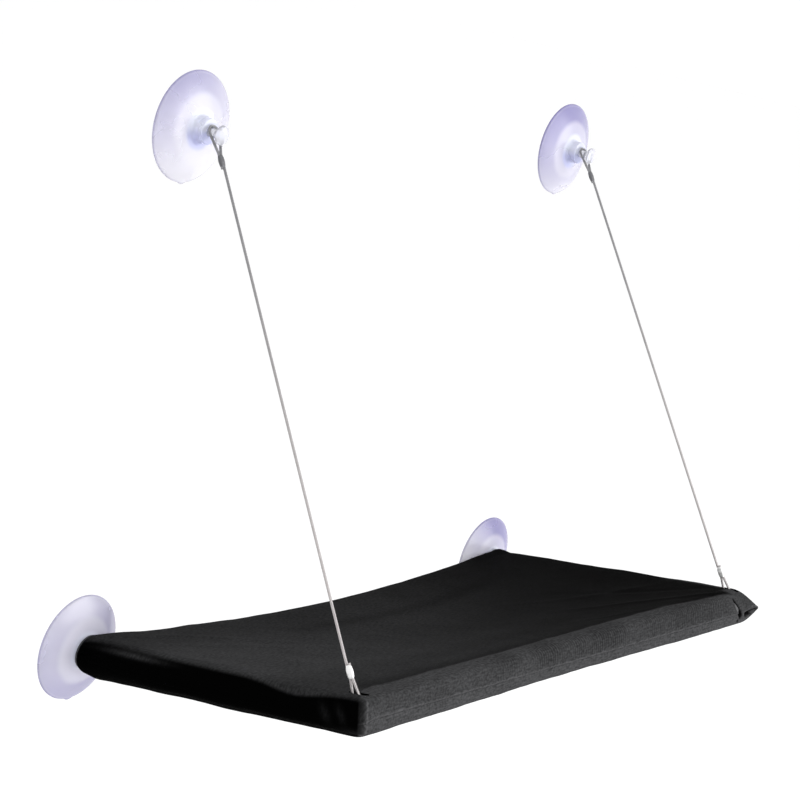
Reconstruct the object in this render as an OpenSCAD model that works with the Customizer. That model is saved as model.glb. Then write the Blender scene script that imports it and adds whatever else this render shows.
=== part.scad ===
// Window perch for a cat: a canvas bed on a three-sided tube frame.
// Two suction cups hold the rear of the frame, and two steel cables run from
// the front corners up to two more suction cups.
// The glass is the plane y = 0, the room is on the -y side, and +z is up.
// The origin lies midway between the centres of the two lower cups.

/* [Bed] */
// Distance between the centre lines of the two side rails
bed_width = 580; // [420:10:700]
// Distance from the front rail's centre line to the rear ends of the side rails
bed_depth = 241; // [200:1:320]
// Upward slope of the bed from the glass to the room, in degrees
bed_slope = 11; // [0:1:14]
// Distance from the glass to the rear ends of the side rails
bed_standoff = 28; // [27:0.5:40]

/* [Tubes] */
// Outside diameter of the rails
tube_od = 26.6; // [24:0.1:28]
// Wall thickness of the rails
tube_wall = 2.8; // [2:0.1:3.4]
// Outside diameter of the moulded corner pieces
fitting_od = 27.8; // [27:0.1:30]
// Distance from a corner's centre to the shoulder that the rail butts on
fitting_reach = 24; // [20:1:34]
// Length of the spigot that goes into a rail
spigot_length = 24; // [16:1:34]
// Diameter of the hollow core inside a spigot
spigot_core = 12; // [8:0.5:14]

/* [Cover] */
// Thickness of the canvas
canvas = 1.1; // [0.8:0.1:1.6]
// Space between the corner pieces and the canvas
canvas_ease = 0.5; // [0.4:0.1:1]
// How far the middle of the top panel hangs below the rails
top_sag = 15; // [4:1:20]
// How far the middle of the bottom panel hangs below the rails
bottom_sag = 3; // [0:0.5:8]
// Half the thickness of the closed rear edge, at its middle
lip_half = 3.1; // [3:0.1:6]
// How far the rear edge bows in at its middle
rear_bow = 5; // [3:0.5:14]
// Angle below the rail's centre where the two panels are sewn together
seam_angle = 17; // [5:1:30]
// Length of the slit that lets a cable out at each front corner
slit_length = 17; // [15:0.5:20]
// Width of that slit
slit_width = 5; // [4:0.5:7]
// How far the slack corner at the front right stands out past the rail's cover
ear_reach = 15; // [4:1:18]
// Length of the touch tapes that close the rear edge
tape_length = 240; // [120:10:300]
// Width of the touch tapes
tape_width = 10; // [6:1:11]
// Thickness of each touch tape
tape_thick = 1; // [0.8:0.1:1.1]

/* [Suction cups] */
// Diameter of a suction cup
cup_diameter = 85; // [75:1:95]
// Height of the crown over the glass, at the foot of the neck
cup_crown = 10.2; // [9:0.1:10.6]
// Depth of the hollow under the cup
cup_hollow = 7.4; // [6:0.1:7.6]
// Thickness of the rim
cup_rim = 1; // [0.8:0.1:1.6]
// Width of the flat ring that seals against the glass
cup_seal = 4; // [3:0.5:6]
// Diameter of the neck
neck_diameter = 20; // [18:0.1:20.4]
// Distance from the glass to the end of the neck
neck_end = 19; // [18:0.5:21]
// Distance between the centres of the two upper cups
upper_spacing = 540; // [400:10:640]
// Height of the upper cups above the lower cups
upper_height = 410; // [330:5:480]

/* [Pegs] */
// Diameter of the peg that carries a cable's upper eye
peg_diameter = 7; // [5:0.5:8]
// Length of the peg inside the neck
peg_grip = 9; // [7:0.5:9.5]
// Length of the bare shank between the neck and the peg's head
peg_shank = 9.4; // [9:0.1:12]
// Diameter of the peg's head
peg_head = 15; // [12:0.5:15.5]
// Thickness of the peg's head
peg_head_thick = 4.1; // [3.6:0.1:6]

/* [Cables] */
// Diameter of the steel cable
cable_diameter = 2.2; // [1.6:0.1:2.4]
// Distance from the loop pin to the lower sleeve
lower_eye = 20; // [18:0.5:26]
// Distance from the peg to the upper sleeve
upper_eye = 17; // [16:0.5:24]
// Length of a crimped sleeve
sleeve_length = 10; // [7:0.5:14]
// Wall thickness of a crimped sleeve
sleeve_wall = 0.7; // [0.5:0.1:1]
// Diameter of the pin that a cable's lower eye goes round
loop_pin_diameter = 5; // [4:0.5:5.5]
// Height of the loop pin above the rail's centre line
loop_pin_rise = 6; // [5.5:0.1:7]

/* [Hidden] */

$fn = 64;
overrun = 1;
LEFT = -1;
RIGHT = 1;

// Clearances between pieces
slip = 0.1;
turning_gap = 0.06;
press_gap = 0.03;
loose_gap = 0.3;

// Frame sizes that follow from the driving ones
half_width = bed_width / 2;
tube_r = tube_od / 2;
bore_r = tube_r - tube_wall;
fitting_r = fitting_od / 2;
spigot_r = bore_r - slip;
barb_r = bore_r - press_gap;
barb_width = 2.4;
barb_count = 3;
spigot_lead = 1.6;
core_floor = 4;
hub_swell = 0.2;

// Cover sizes
cover_in = fitting_r + canvas_ease;
cover_out = cover_in + canvas;
slit_floor = 2;
edge_steps = 6;
corner_steps = 4;
front_steps = 7;
rear_steps = 13;
side_steps = 5;
ear_steps = 3;
ear_run = 74;
ear_point = 1.5;
ring_shares = [1, 0.95, 0.87, 0.74, 0.56, 0.34, 0.12];
seam_run = 60;
boxy_end_share = 0.35;
drop_power = 2.5;
lip_power = 1.2;
tape_inset = 2.4;
tape_level = -0.9;
hub_hole_r = fitting_r + loose_gap;
hub_hole_stop = 2;

// Cup sizes
cup_r = cup_diameter / 2;
neck_r = neck_diameter / 2;
crown_r = 13;
crown_power = 1.8;
hollow_power = 0.8;
profile_steps = 12;
neck_flare = 3;
neck_edge = 0.8;
tab_reach = 2.2;
tab_width = 9;
socket_mouth = 12;
socket_slack = 0.6;
socket_lead = 2;

// Peg sizes
peg_r = peg_diameter / 2;
peg_head_r = peg_head / 2;
peg_collar_r = peg_r + 2.3;
peg_tip = 1;
peg_flare = 1.6;
peg_rim = 0.9;
peg_hole_floor = 0.5;

// Cable sizes
cable_r = cable_diameter / 2;
leg_gap = 0.2;
leg_offset = cable_r + leg_gap / 2;
leg_run_in = 0.6;
knuckle_swell = 0.06;
loop_pin_r = loop_pin_diameter / 2;
loop_pin_half = 11.4;
pin_chamfer = 0.6;
tail_length = 1.2;
sleeve_bore_r = cable_r + press_gap;
sleeve_r = cable_r + sleeve_wall;
crimp_r = 1.6;
crimp_depth = 0.35;
crimp_places = [0.3, 0.7];

// Pocket in a front corner, where the lower eye turns on its pin
pocket_width = 7;
pocket_length = slit_length + 2;
pocket_floor_gap = 0.8;
lower_eye_r = loop_pin_r + loose_gap + cable_r;
pocket_floor = loop_pin_rise - lower_eye_r - cable_r - pocket_floor_gap;

// Ends of a cable, as points in the room: the loop pin and the upper peg
pin_y = -bed_standoff - bed_depth * cos(bed_slope) + loop_pin_rise * sin(bed_slope);
pin_z = bed_depth * sin(bed_slope) + loop_pin_rise * cos(bed_slope);
cable_pitch = atan2(-eye_y_guess() - pin_y, upper_height - pin_z);
upper_eye_r = peg_r / cos(cable_pitch) + loose_gap + cable_r;
eye_y = neck_end + loose_gap + cable_r + upper_eye_r * sin(cable_pitch);
run_x = upper_spacing / 2 - half_width;
run_y = -eye_y - pin_y;
run_z = upper_height - pin_z;

// The middle of the peg's bare shank, near enough for the cable's slope
function eye_y_guess() = neck_end + peg_shank / 2;

// Puts what follows in the sloping plane of the bed.
// Its own origin is midway between the rear ends of the side rails.
module in_bed() {
    translate([0, -bed_standoff, 0])
        rotate([-bed_slope, 0, 0])
            children();
}

// Turns +z towards the vector v
module aim(v) {
    rotate([-atan2(v.y, v.z), 0, 0])
        rotate([0, asin(v.x / norm(v)), 0])
            children();
}

// One rail, along +z from its own origin
module rail(length) {
    color("whitesmoke")
        difference() {
            cylinder(r = tube_r, h = length);
            translate([0, 0, -overrun])
                cylinder(r = bore_r, h = length + 2 * overrun);
        }
}

module front_rail() {
    in_bed()
        translate([-half_width + fitting_reach, -bed_depth, 0])
            rotate([0, 90, 0])
                rail(bed_width - 2 * fitting_reach);
}

module side_rail(side) {
    in_bed()
        translate([side * half_width, -fitting_reach, 0])
            rotate([90, 0, 0])
                rail(bed_depth - 2 * fitting_reach);
}

// Outline of a spigot's wall, from its root out to its rounded tip
function spigot_outline() = concat(
    [[spigot_core / 2, 0], [spigot_r, 0]],
    [for (i = [0 : barb_count - 1])
        let (z = spigot_length * (i + 1) / (barb_count + 1))
        each [[spigot_r, z], [barb_r, z + barb_width / 4], [barb_r, z + barb_width / 2],
            [spigot_r, z + barb_width]]],
    [[spigot_r, spigot_length - spigot_lead], [spigot_r - spigot_lead, spigot_length],
        [spigot_core / 2, spigot_length]]);

// One arm of a corner piece, along +z: a round body and a ribbed, hollow spigot
module fitting_arm() {
    cylinder(r = fitting_r, h = fitting_reach);
    translate([0, 0, fitting_reach])
        rotate_extrude()
            polygon(spigot_outline());
}

// The hollow inside an arm, open at the spigot's tip
module arm_core() {
    translate([0, 0, fitting_reach - core_floor])
        cylinder(d = spigot_core, h = core_floor + spigot_length + overrun);
}

// A slot with round ends, along y and cut down through z
module slot(length, width, depth) {
    for (y = [-1, 1])
        translate([0, y * (length - width) / 2, 0])
            cylinder(d = width, h = depth);
    translate([-width / 2, -(length - width) / 2, 0])
        cube([width, length - width, depth]);
}

// Front corner piece, with the pocket and the cross bore for the loop pin
module elbow(side) {
    color([0.12, 0.12, 0.13])
        in_bed()
            translate([side * half_width, -bed_depth, 0])
                difference() {
                    union() {
                        sphere(r = fitting_r);
                        rotate([-90, 0, 0])
                            fitting_arm();
                        rotate([0, -side * 90, 0])
                            fitting_arm();
                    }
                    rotate([-90, 0, 0])
                        arm_core();
                    rotate([0, -side * 90, 0])
                        arm_core();
                    translate([0, 0, pocket_floor])
                        slot(pocket_length, pocket_width, fitting_r);
                    translate([side * (fitting_r + overrun), 0, loop_pin_rise])
                        rotate([0, -side * 90, 0])
                            cylinder(r = loop_pin_r + press_gap,
                                h = fitting_r + overrun + loop_pin_half + press_gap);
                }
}

// Steel pin across the pocket, with both ends chamfered
module loop_pin(side) {
    color("silver")
        in_bed()
            translate([side * half_width, -bed_depth, loop_pin_rise])
                rotate([0, 90, 0])
                    rotate_extrude()
                        polygon([[0, -loop_pin_half], [loop_pin_r - pin_chamfer, -loop_pin_half],
                            [loop_pin_r, -loop_pin_half + pin_chamfer],
                            [loop_pin_r, loop_pin_half - pin_chamfer],
                            [loop_pin_r - pin_chamfer, loop_pin_half], [0, loop_pin_half]]);
}

// Rear end of a side rail: a spigot along the rail, and a socket square to
// the glass for the neck of a lower cup
module rear_socket(side) {
    socket_depth = neck_end + socket_slack - socket_mouth;
    color([0.12, 0.12, 0.13])
        difference() {
            union() {
                translate([side * half_width, -bed_standoff, 0]) {
                    sphere(r = fitting_r + hub_swell);
                    rotate([-90, 0, 0])
                        cylinder(r = fitting_r, h = bed_standoff - socket_mouth);
                }
                in_bed()
                    translate([side * half_width, 0, 0])
                        rotate([90, 0, 0])
                            fitting_arm();
            }
            in_bed()
                translate([side * half_width, 0, 0])
                    rotate([90, 0, 0])
                        arm_core();
            translate([side * half_width, -socket_mouth, 0])
                rotate([90, 0, 0]) {
                    translate([0, 0, -overrun]) {
                        cylinder(r = neck_r + turning_gap, h = overrun + socket_depth);
                        cylinder(r1 = neck_r + turning_gap + socket_lead + overrun,
                            r2 = neck_r + turning_gap, h = socket_lead + overrun);
                    }
                }
        }
}

// Outline of a suction cup, x out from its axis and y away from the glass
function crown_height(r) =
    cup_rim + (cup_crown - cup_rim) * (1 - pow((r - crown_r) / (cup_r - crown_r), crown_power));
function hollow_height(r) =
    cup_hollow * pow(1 - pow(r / (cup_r - cup_seal), 2), hollow_power);
function cup_outline() = concat(
    [for (i = [0 : profile_steps])
        let (r = (cup_r - cup_seal) * i / profile_steps)
        [r, hollow_height(r)]],
    [[cup_r, 0]],
    [for (i = [profile_steps : -1 : 0])
        let (r = crown_r + (cup_r - crown_r) * i / profile_steps)
        [r, crown_height(r)]],
    [for (i = [1 : 4])
        let (a = 90 * i / 4)
        [crown_r - (crown_r - neck_r) * sin(a), cup_crown + neck_flare * (1 - cos(a))]],
    [[neck_r, neck_end - neck_edge], [neck_r - neck_edge, neck_end], [0, neck_end]]);

// A suction cup on its own axis: +z points from the glass into the room.
// A finger tab on the rim breaks the seal.
module cup() {
    color([0.8, 0.8, 0.95, 0.6])
        difference() {
            union() {
                rotate_extrude($fn = 96)
                    polygon(cup_outline());
                translate([0, -cup_r - tab_reach + tab_width / 2, 0])
                    cylinder(d = tab_width, h = cup_rim);
            }
            translate([0, 0, neck_end - peg_grip - peg_hole_floor])
                cylinder(r = peg_r + press_gap, h = peg_grip + peg_hole_floor + overrun);
            translate([0, 0, -overrun])
                cylinder(r = cup_r - cup_seal, h = overrun);
        }
}

module lower_cup(side) {
    translate([side * half_width, 0, 0])
        rotate([90, 0, 0])
            cup();
}

module upper_cup(side) {
    translate([side * upper_spacing / 2, 0, upper_height])
        rotate([90, 0, 0])
            cup();
}

// Peg pressed into the neck of an upper cup; its head keeps the cable's eye on
module upper_peg(side) {
    head = neck_end + peg_shank;
    color([0.93, 0.93, 1, 0.8])
        translate([side * upper_spacing / 2, 0, upper_height])
            rotate([90, 0, 0])
                rotate_extrude()
                    polygon([[0, neck_end - peg_grip], [peg_r - peg_tip, neck_end - peg_grip],
                        [peg_r, neck_end - peg_grip + peg_tip], [peg_r, head], [peg_collar_r, head],
                        [peg_head_r, head + peg_flare], [peg_head_r, head + peg_flare + peg_rim],
                        [peg_head_r - peg_rim, head + peg_head_thick - peg_rim / 2],
                        [peg_head_r / 2, head + peg_head_thick], [0, head + peg_head_thick]]);
}

// Angle by which an eye's legs lean in, from the round part to where they turn parallel
function eye_lean(radius, reach) =
    atan2(reach, leg_offset) - acos(radius / norm([leg_offset, reach]));
function leg_length(radius, reach) = sqrt(leg_offset * leg_offset + reach * reach - radius * radius);

// A knuckle joins two stretches of cable that meet at the origin
module knuckle() {
    sphere(r = cable_r + knuckle_swell, $fn = 32);
}

// An eye in the xz plane, round the origin. Its two legs lean in and turn parallel at
// z = reach, and the one on -x runs on to its cut end just past the sleeve.
module eye(radius, reach) {
    lean = eye_lean(radius, reach);
    rotate([90, 0, 0])
        rotate([0, 0, 180 - lean])
            rotate_extrude(angle = 180 + 2 * lean)
                translate([radius, 0])
                    circle(r = cable_r, $fn = 32);
    for (side = [-1, 1]) {
        translate([side * radius * cos(lean), 0, radius * sin(lean)])
            rotate([0, -side * lean, 0]) {
                knuckle();
                cylinder(r = cable_r, h = leg_length(radius, reach), $fn = 32);
            }
        translate([side * leg_offset, 0, reach])
            knuckle();
    }
    translate([-leg_offset, 0, reach])
        cylinder(r = cable_r, h = leg_run_in + sleeve_length + tail_length, $fn = 32);
}

// Directions across a cable that runs along v: the upper eye's legs lie side by side
// along the first one, and the lower eye's legs along the second
function upper_legs_way(v) =
    let (turn = -atan2(v.y, v.z), lean = asin(v.x / norm(v)))
    [cos(lean), sin(lean) * sin(turn), -sin(lean) * cos(turn)];
function lower_legs_way(v) = let (turn = -atan2(v.y, v.z)) [0, cos(turn), sin(turn)];

// From the loop pin to the upper peg, and from one eye's long leg to the other's
function pin_to_peg(side) = [side * run_x, run_y, run_z];
function long_leg(side) = let (v = pin_to_peg(side))
    v - leg_offset * lower_legs_way(v) + leg_offset * upper_legs_way(v);

// Puts what follows on a cable's own line: +z runs up the cable from the loop pin's level
module on_cable(side) {
    translate([side * half_width, pin_y, pin_z] + leg_offset * lower_legs_way(pin_to_peg(side)))
        aim(long_leg(side))
            children();
}

// Steel cable from the loop pin to the upper peg, with an eye at each end
module cable(side) {
    from = lower_eye - leg_run_in;
    to = norm(long_leg(side)) - upper_eye + leg_run_in;
    color("darkgray")
        on_cable(side) {
            translate([0, -leg_offset, 0])
                rotate([0, 0, 90])
                    eye(lower_eye_r, from);
            translate([-leg_offset, 0, norm(long_leg(side))])
                rotate([180, 0, 0])
                    eye(upper_eye_r, upper_eye - leg_run_in);
            translate([0, 0, from])
                cylinder(r = cable_r, h = to - from, $fn = 32);
        }
}

// Oval sleeve crimped round the two legs of an eye, side by side along x
module sleeve() {
    color("lightgray")
        difference() {
            union() {
                for (x = [-leg_offset, leg_offset])
                    translate([x, 0, 0])
                        cylinder(r = sleeve_r, h = sleeve_length);
                translate([-leg_offset, -sleeve_r, 0])
                    cube([2 * leg_offset, 2 * sleeve_r, sleeve_length]);
            }
            for (x = [-leg_offset, leg_offset])
                translate([x, 0, -overrun])
                    cylinder(r = sleeve_bore_r, h = sleeve_length + 2 * overrun);
            for (share = crimp_places)
                for (face = [-1, 1])
                    translate([0, face * (sleeve_r + crimp_r - crimp_depth), share * sleeve_length])
                        rotate([0, 90, 0])
                            cylinder(r = crimp_r, h = 4 * sleeve_r, center = true);
        }
}

module lower_sleeve(side) {
    on_cable(side)
        translate([0, -leg_offset, lower_eye])
            rotate([0, 0, 90])
                sleeve();
}

module upper_sleeve(side) {
    on_cable(side)
        translate([-leg_offset, 0, norm(long_leg(side)) - upper_eye - sleeve_length])
            sleeve();
}

// The cover's edge as a ring of stations, counted anticlockwise from the front left.
// Each station is [x, y, direction, radius, reach]: the edge is round about [x, y, 0],
// radius is its half thickness, and reach is how far it stands out in its direction.
// The radius shrinks along the open rear edge, and the reach grows in the slack corner.
function rear_share(x) = pow(max(0, cos(90 * x / half_width)), lip_power);
function rear_radius(x) = cover_out - (cover_out - lip_half) * rear_share(x);
function rear_y(x) =
    cover_out - rear_bow * (1 - pow(x / half_width, 2)) - rear_radius(x);
function snug(x, y, way) = [x, y, way, cover_out, cover_out];
function corner(x, y, from) = [for (i = [1 : corner_steps - 1])
    snug(x, y, from + 90 * i / corner_steps)];

// The slack corner is drawn as a fan of stations about the front right corner, out to
// a point in line with the front face, and then back along the right side
ear_way = -atan2(cover_out, cover_out + ear_reach);
ear_far = norm([cover_out, cover_out + ear_reach]);
function front_reach(way) = cover_out / max(0.1, -sin(way));
function fan_way(i) = -90 + (ear_way + 90) * (i + 1) / ear_steps;
SLACK_CORNER = [for (i = [0 : ear_steps - 1])
    [half_width, -bed_depth, fan_way(i), cover_out, min(ear_far, front_reach(fan_way(i)))]];
SLACK_SIDE = [for (y = [0, 0.3, 0.6])
    [half_width, -bed_depth + y * ear_run, 0, cover_out,
        cover_out + ear_reach * pow(1 - (y * ear_run + cover_out) / (ear_run + cover_out), 1.2)]];

STATIONS = concat(
    [for (i = [0 : front_steps])
        snug(-half_width + bed_width * i / front_steps, -bed_depth, -90)],
    SLACK_CORNER,
    SLACK_SIDE,
    [for (i = [0 : side_steps - 2])
        snug(half_width, -(bed_depth - ear_run) * (1 - i / (side_steps - 2)), 0)],
    corner(half_width, 0, 0),
    [for (i = [0 : rear_steps])
        let (x = half_width - bed_width * i / rear_steps)
        [x, rear_y(x), 90, rear_radius(x), rear_radius(x)]],
    corner(-half_width, 0, 90),
    [for (i = [0 : side_steps])
        snug(-half_width, -bed_depth * i / side_steps, 180)],
    corner(-half_width, -bed_depth, 180));
station_count = len(STATIONS);

// Angle of the sewn seam under the edge's centre; it runs out to the rear
function seam_at(station) = -seam_angle * min(1, max(0, -station.y / seam_run));

// How square the edge's profile is: round at the front and sides, boxy at the rear,
// and pointed in the slack corner
function edge_power(station) =
    let (s = max(0, sin(station[2])), slack = (station[4] - station[3]) / (ear_far - cover_out))
    1 - (1 - boxy_end_share) * s + (ear_point - 1) * min(1, max(0, slack));

// A point on the round edge of a panel, for an angle of elevation
function edge_point(station, angle, skin) =
    let (r = station[3] - skin, reach = station[4] - skin * station[4] / station[3],
        h = reach * pow(max(0, cos(angle)), edge_power(station)))
    [station.x + h * cos(station[2]), station.y + h * sin(station[2]), r * sin(angle)];

// Heights of the two panels inside the edge
function across(x) = 1 - pow(x / half_width, 2);
function along(y) = min(1, max(-1, (y + bed_depth / 2) / (bed_depth / 2)));
function hang(x, y) = across(x) * (1 - pow(along(y), 2));
function rear_drop(x, y) = (cover_out - rear_radius(x)) * pow((1 + along(y)) / 2, drop_power);
function top_height(x, y) = cover_out - top_sag * hang(x, y) - rear_drop(x, y);
function bottom_height(x, y) = -cover_out - bottom_sag * hang(x, y) + rear_drop(x, y);

// A point inside the edge, at a share of the way out from the bed's centre
function panel_point(station, share, up, skin) =
    let (x = station.x * share, y = -bed_depth / 2 + (station.y + bed_depth / 2) * share)
    [x, y, up > 0 ? top_height(x, y) - skin : bottom_height(x, y) + skin];

// All points of one side of a panel: rings from the seam inwards, then the centre
function panel_points(up, skin) = concat(
    [for (i = [0 : edge_steps - 1]) each [for (s = STATIONS)
        let (from = seam_at(s))
        edge_point(s, from + (up * 90 - from) * i / edge_steps, skin)]],
    [for (share = ring_shares) each [for (s = STATIONS) panel_point(s, share, up, skin)]],
    [panel_point([0, 0], 0, up, skin)]);

// A canvas panel as a closed solid: an outer skin, an inner skin and the sewn rim.
// up is 1 for the top panel and -1 for the bottom one.
module panel(up) {
    rings = edge_steps + len(ring_shares);
    per_skin = rings * station_count + 1;
    function at(skin, ring, i) = skin * per_skin + ring * station_count + i % station_count;
    function quad(a, b, c, d) = [[a, b, c], [a, c, d]];
    function turned(face, flip) = flip ? [face[2], face[1], face[0]] : face;
    function skin_faces(skin) = concat(
        [for (ring = [0 : rings - 2], i = [0 : station_count - 1])
            each quad(at(skin, ring, i), at(skin, ring + 1, i),
                at(skin, ring + 1, i + 1), at(skin, ring, i + 1))],
        [for (i = [0 : station_count - 1])
            [at(skin, rings - 1, i), (skin + 1) * per_skin - 1, at(skin, rings - 1, i + 1)]]);
    rim = [for (i = [0 : station_count - 1])
        each quad(at(0, 0, i), at(0, 0, i + 1), at(1, 0, i + 1), at(1, 0, i))];
    faces = concat(
        [for (f = skin_faces(0)) turned(f, up < 0)],
        [for (f = skin_faces(1)) turned(f, up > 0)],
        [for (f = rim) turned(f, up < 0)]);
    polyhedron(points = concat(panel_points(up, 0), panel_points(up, canvas)), faces = faces);
}

// Round holes at the rear corners, where the lower cups' sockets come through
module hub_holes() {
    for (side = [LEFT, RIGHT])
        translate([side * half_width, 0, 0])
            rotate([90, 0, 0])
                cylinder(r = hub_hole_r, h = bed_standoff - hub_hole_stop);
}

// Top panel: over the rails and down to the seam, with a slit at each front corner
module cover_top() {
    color("dimgray")
        difference() {
            in_bed()
                panel(1);
            hub_holes();
            in_bed()
                for (side = [LEFT, RIGHT])
                    translate([side * half_width, -bed_depth, slit_floor])
                        slot(slit_length, slit_width, cover_out);
        }
}

// Bottom panel: from the seam round under the rails
module cover_bottom() {
    color("dimgray")
        difference() {
            in_bed()
                panel(-1);
            hub_holes();
        }
}

// A touch tape along the inside of the rear edge, from z up
module tape(z) {
    color("black")
        in_bed()
            translate([-tape_length / 2, cover_out - rear_bow - tape_inset - tape_width, z])
                cube([tape_length, tape_width, tape_thick]);
}

module rear_hook_tape() {
    tape(tape_level);
}

module rear_loop_tape() {
    tape(tape_level - tape_thick);
}

front_rail();
side_rail(LEFT);  // left_rail
side_rail(RIGHT);  // right_rail
elbow(LEFT);  // left_elbow
elbow(RIGHT);  // right_elbow
rear_socket(LEFT);  // left_rear_socket
rear_socket(RIGHT);  // right_rear_socket
loop_pin(LEFT);  // left_loop_pin
loop_pin(RIGHT);  // right_loop_pin
cover_top();
cover_bottom();
rear_hook_tape();
rear_loop_tape();
lower_cup(LEFT);  // lower_left_cup
lower_cup(RIGHT);  // lower_right_cup
upper_cup(LEFT);  // upper_left_cup
upper_cup(RIGHT);  // upper_right_cup
upper_peg(LEFT);  // upper_left_peg
upper_peg(RIGHT);  // upper_right_peg
cable(LEFT);  // left_cable
cable(RIGHT);  // right_cable
lower_sleeve(LEFT);  // left_lower_sleeve
lower_sleeve(RIGHT);  // right_lower_sleeve
upper_sleeve(LEFT);  // left_upper_sleeve
upper_sleeve(RIGHT);  // right_upper_sleeve
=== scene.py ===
import math

import bmesh
import bpy
import numpy as np
from mathutils import Matrix, Quaternion, Vector, noise


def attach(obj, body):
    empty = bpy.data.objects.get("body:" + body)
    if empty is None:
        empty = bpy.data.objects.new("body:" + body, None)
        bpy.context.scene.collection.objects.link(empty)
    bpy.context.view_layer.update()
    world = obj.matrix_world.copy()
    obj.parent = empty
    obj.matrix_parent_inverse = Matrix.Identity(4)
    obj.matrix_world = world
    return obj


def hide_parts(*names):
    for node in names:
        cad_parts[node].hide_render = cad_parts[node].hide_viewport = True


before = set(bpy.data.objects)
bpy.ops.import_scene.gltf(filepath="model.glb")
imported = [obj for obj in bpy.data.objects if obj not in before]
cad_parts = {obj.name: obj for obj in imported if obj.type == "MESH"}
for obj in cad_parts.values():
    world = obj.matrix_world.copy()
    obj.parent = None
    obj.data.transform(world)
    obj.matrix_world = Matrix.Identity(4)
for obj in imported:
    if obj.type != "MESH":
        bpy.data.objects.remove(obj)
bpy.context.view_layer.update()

scene = bpy.context.scene

# Camera.
# It stands where the photo was taken from: front left, a little above, and tipped by 12 degrees.
# It was found by fitting the outlines of the cups, the bed and the cables.
camera_at = (-1.5713, -1.0761, 0.6023)
camera_turn = math.radians(57.0)
camera_drop = math.radians(12.19)
camera_roll = math.radians(11.99)
focal_share = 2.835


def add_object(name, data):
    made = bpy.data.objects.new(name, data)
    scene.collection.objects.link(made)
    return made


def aim(made, at, way, roll=0.0):
    """Puts a camera or a lamp at this place, looking this way."""
    made.location = at
    made.rotation_mode = "QUATERNION"
    made.rotation_quaternion = Vector(way).to_track_quat("-Z", "Y") @ Quaternion((0, 0, 1), roll)


camera_data = bpy.data.cameras.new("camera")
camera_data.sensor_width = 36
camera_data.lens = focal_share * camera_data.sensor_width
camera = add_object("camera", camera_data)
aim(camera, camera_at, (math.sin(camera_turn) * math.cos(camera_drop),
                        math.cos(camera_turn) * math.cos(camera_drop),
                        -math.sin(camera_drop)), camera_roll)
scene.camera = camera


# Light, backdrop and floor.
# The photo has a pure white ground and soft light, with the front face brighter than the rest.
class Value:
    """One output of a node. Sums on it add the Math nodes that do them."""

    def __init__(self, tree, socket):
        self.tree, self.socket = tree, socket

    def other(self, name):
        return Value(self.tree, self.socket.node.outputs[name])

    def __add__(self, b):
        return self.tree.math("ADD", self, b)

    def __radd__(self, b):
        return self.tree.math("ADD", b, self)

    def __sub__(self, b):
        return self.tree.math("SUBTRACT", self, b)

    def __rsub__(self, b):
        return self.tree.math("SUBTRACT", b, self)

    def __mul__(self, b):
        return self.tree.math("MULTIPLY", self, b)

    def __rmul__(self, b):
        return self.tree.math("MULTIPLY", b, self)

    def __truediv__(self, b):
        return self.tree.math("DIVIDE", self, b)

    def __rtruediv__(self, b):
        return self.tree.math("DIVIDE", b, self)


class Tree:
    """A node tree being built, of a material or of a geometry group."""

    def __init__(self, data):
        self.data = data

    def node(self, kind, settings=None, values=None, out=0):
        """Adds a node. A socket takes a plain value, a link, or a list of links."""
        made = self.data.nodes.new(kind)
        for name, value in (settings or {}).items():
            setattr(made, name, value)
        for name, value in (values or {}).items():
            if isinstance(value, (Value, list)):
                for link in value if isinstance(value, list) else [value]:
                    self.data.links.new(link.socket, made.inputs[name])
            else:
                made.inputs[name].default_value = value
        return Value(self, made.outputs[out]) if made.outputs else made

    def math(self, operation, *terms):
        return self.node("ShaderNodeMath", {"operation": operation}, dict(enumerate(terms)))

    def vector(self, operation, *terms):
        return self.node("ShaderNodeVectorMath", {"operation": operation}, dict(enumerate(terms)))

    def scaled(self, vector, factor):
        return self.node("ShaderNodeVectorMath", {"operation": "SCALE"},
                         {0: vector, "Scale": factor})

    def ramp(self, value, low, high, to_low=0.0, to_high=1.0):
        return self.node("ShaderNodeMapRange", {"interpolation_type": "SMOOTHSTEP"},
                         {"Value": value, "From Min": low, "From Max": high,
                          "To Min": to_low, "To Max": to_high})

    def colour(self, factor, a, b):
        a, b = ((*tint, 1) if isinstance(tint, tuple) else tint for tint in (a, b))
        return self.node("ShaderNodeMix", {"data_type": "RGBA"}, {0: factor, 6: a, 7: b}, out=2)

    def place(self):
        return self.node("ShaderNodeTexCoord", out="Object")

    def noise(self, vector, scale, detail=3.0, rough=0.5):
        return self.node("ShaderNodeTexNoise", {},
                         {"Vector": vector, "Scale": scale, "Detail": detail, "Roughness": rough})

    def bump(self, height, strength, distance):
        return self.node("ShaderNodeBump", {},
                         {"Height": height, "Strength": strength, "Distance": distance})


def material(name, paint, **constants):
    """A material with varying sockets from paint(tree), and plain numbers for the others."""
    made = bpy.data.materials.new(name)
    made.use_nodes = True
    tree = Tree(made.node_tree)
    shader = made.node_tree.nodes["Principled BSDF"]
    for label, value in constants.items():
        shader.inputs[label.replace("_", " ")].default_value = value
    for label, value in paint(tree).items():
        made.node_tree.links.new(value.socket, shader.inputs[label])
    return made


def mesh_object(name, points, faces, edges=()):
    mesh = bpy.data.meshes.new(name)
    mesh.from_pydata(points, edges, faces)
    return add_object(name, mesh)


def paint_floor(t):
    speckle = t.noise(t.place(), 60.0)
    return {"Base Color": t.colour(speckle, (0.93, 0.93, 0.93), (0.96, 0.96, 0.96))}


scene.view_settings.view_transform = "Standard"
world = bpy.data.worlds.new("white_studio")
world.use_nodes = True
backdrop = world.node_tree.nodes["Background"]
backdrop.inputs["Color"].default_value = (1, 1, 1, 1)
backdrop.inputs["Strength"].default_value = 1.06
scene.world = world

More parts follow.
